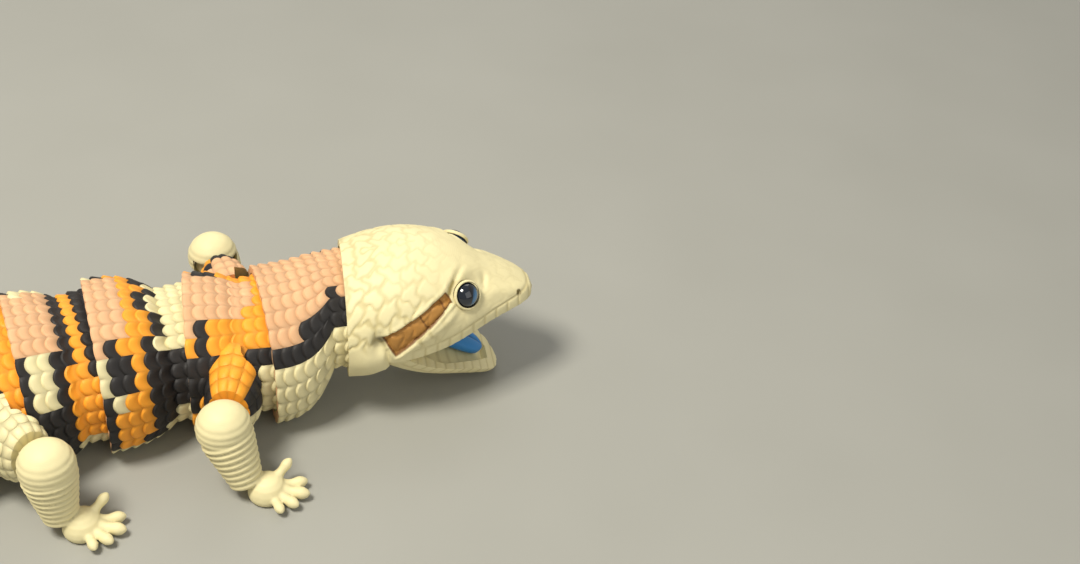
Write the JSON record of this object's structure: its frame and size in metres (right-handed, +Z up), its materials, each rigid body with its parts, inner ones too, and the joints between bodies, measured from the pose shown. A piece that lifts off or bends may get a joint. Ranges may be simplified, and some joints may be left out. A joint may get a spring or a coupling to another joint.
{
  "type": "articulated toy skink",
  "caption": "Printed plastic toy lizard of jointed hollow segments with an open hinged jaw, blue tongue, glassy eyes and swinging legs.",
  "frame": {"origin": "on the floor under the middle of the toy's box, in the bent rest pose", "axes": "+X towards the head, +Y towards the toy's left side, +Z up"},
  "size_m": [0.279, 0.1642, 0.0494],
  "materials": {
    "cream_plastic": "matte, printed in fine layers",
    "salmon_plastic": "matte, printed in fine layers, with bands of other colours",
    "orange_plastic": "matte, printed in fine layers, with bands of other colours",
    "blue_plastic": "satin",
    "eye_glass": "glossy domed eye"
  },
  "bodies": {
    "head": {"head": "cream_plastic", "eye_left": "eye_glass", "eye_right": "eye_glass"},
    "jaw": {"jaw": "cream_plastic", "tongue": "blue_plastic"},
    "neck": {"neck": "salmon_plastic"},
    "chest": {"chest": "orange_plastic"},
    "trunk_1": {"trunk_1": "salmon_plastic"},
    "trunk_2": {"trunk_2": "salmon_plastic"},
    "pelvis": {"pelvis": "salmon_plastic"},
    "tail_1": {"tail_1": "cream_plastic"},
    "tail_2": {"tail_2": "orange_plastic"},
    "tail_3": {"tail_3": "cream_plastic"},
    "tail_4": {"tail_4": "orange_plastic"},
    "tail_5": {"tail_5": "cream_plastic"},
    "tail_6": {"tail_6": "orange_plastic"},
    "front_leg_left": {"front_leg_left": "cream_plastic"},
    "front_leg_right": {"front_leg_right": "cream_plastic"},
    "hind_leg_left": {"hind_leg_left": "cream_plastic"},
    "hind_leg_right": {"hind_leg_right": "cream_plastic"}
  },
  "joints": [
    {"name": "neck_yaw", "type": "hinge", "parent": "chest", "child": "neck", "pos_m": [0.06089, 0.02676, 0.02], "axis": [0, 0, 1], "range_deg": [-19.5, 7.5]},
    {"name": "head_yaw", "type": "hinge", "parent": "neck", "child": "head", "pos_m": [0.08367, 0.03551, 0.02], "axis": [0, 0, 1], "range_deg": [-5.5, 21.5]},
    {"name": "trunk_1_yaw", "type": "hinge", "parent": "chest", "child": "trunk_1", "pos_m": [0.04012, 0.0212, 0.02], "axis": [0, 0, 1], "range_deg": [-21.5, 5.5]},
    {"name": "trunk_2_yaw", "type": "hinge", "parent": "trunk_1", "child": "trunk_2", "pos_m": [0.01573, 0.01084, 0.02], "axis": [0, 0, 1], "range_deg": [-17.5, 9.5]},
    {"name": "pelvis_yaw", "type": "hinge", "parent": "trunk_2", "child": "pelvis", "pos_m": [-0.00343, 0.00108, 0.02], "axis": [0, 0, 1], "range_deg": [-21.5, 5.5]},
    {"name": "tail_1_yaw", "type": "hinge", "parent": "pelvis", "child": "tail_1", "pos_m": [-0.02473, -0.01383, 0.02], "axis": [0, 0, 1], "range_deg": [-21.5, 5.5]},
    {"name": "tail_2_yaw", "type": "hinge", "parent": "tail_1", "child": "tail_2", "pos_m": [-0.04301, -0.03088, 0.02], "axis": [0, 0, 1], "range_deg": [-7.7, 19.3]},
    {"name": "tail_3_yaw", "type": "hinge", "parent": "tail_2", "child": "tail_3", "pos_m": [-0.06205, -0.04533, 0.02], "axis": [0, 0, 1], "range_deg": [-7.7, 19.3]},
    {"name": "tail_4_yaw", "type": "hinge", "parent": "tail_3", "child": "tail_4", "pos_m": [-0.08151, -0.05721, 0.02], "axis": [0, 0, 1], "range_deg": [-7.7, 19.3]},
    {"name": "tail_5_yaw", "type": "hinge", "parent": "tail_4", "child": "tail_5", "pos_m": [-0.10108, -0.06659, 0.02], "axis": [0, 0, 1], "range_deg": [-7.7, 19.3]},
    {"name": "tail_6_yaw", "type": "hinge", "parent": "tail_5", "child": "tail_6", "pos_m": [-0.12046, -0.07356, 0.02], "axis": [0, 0, 1], "range_deg": [-7.7, 19.3]},
    {"name": "front_leg_left_swing", "type": "hinge", "parent": "chest", "child": "front_leg_left", "pos_m": [0.03811, 0.06155, 0.021], "axis": [0, 0, 1], "range_deg": [-15, 15]},
    {"name": "front_leg_right_swing", "type": "hinge", "parent": "chest", "child": "front_leg_right", "pos_m": [0.05855, -0.01476, 0.021], "axis": [0, 0, 1], "range_deg": [-15, 15]},
    {"name": "hind_leg_left_swing", "type": "hinge", "parent": "pelvis", "child": "hind_leg_left", "pos_m": [-0.02965, 0.03155, 0.021], "axis": [0, 0, 1], "range_deg": [-15, 15]},
    {"name": "hind_leg_right_swing", "type": "hinge", "parent": "pelvis", "child": "hind_leg_right", "pos_m": [0.01624, -0.03398, 0.021], "axis": [0, 0, 1], "range_deg": [-15, 15]},
    {"name": "jaw_hinge", "type": "hinge", "parent": "head", "child": "jaw", "pos_m": [0.10101, 0.03951, 0.02343], "axis": [-0.225, 0.9744, 0], "range_deg": [-45, 0]}
  ]
}
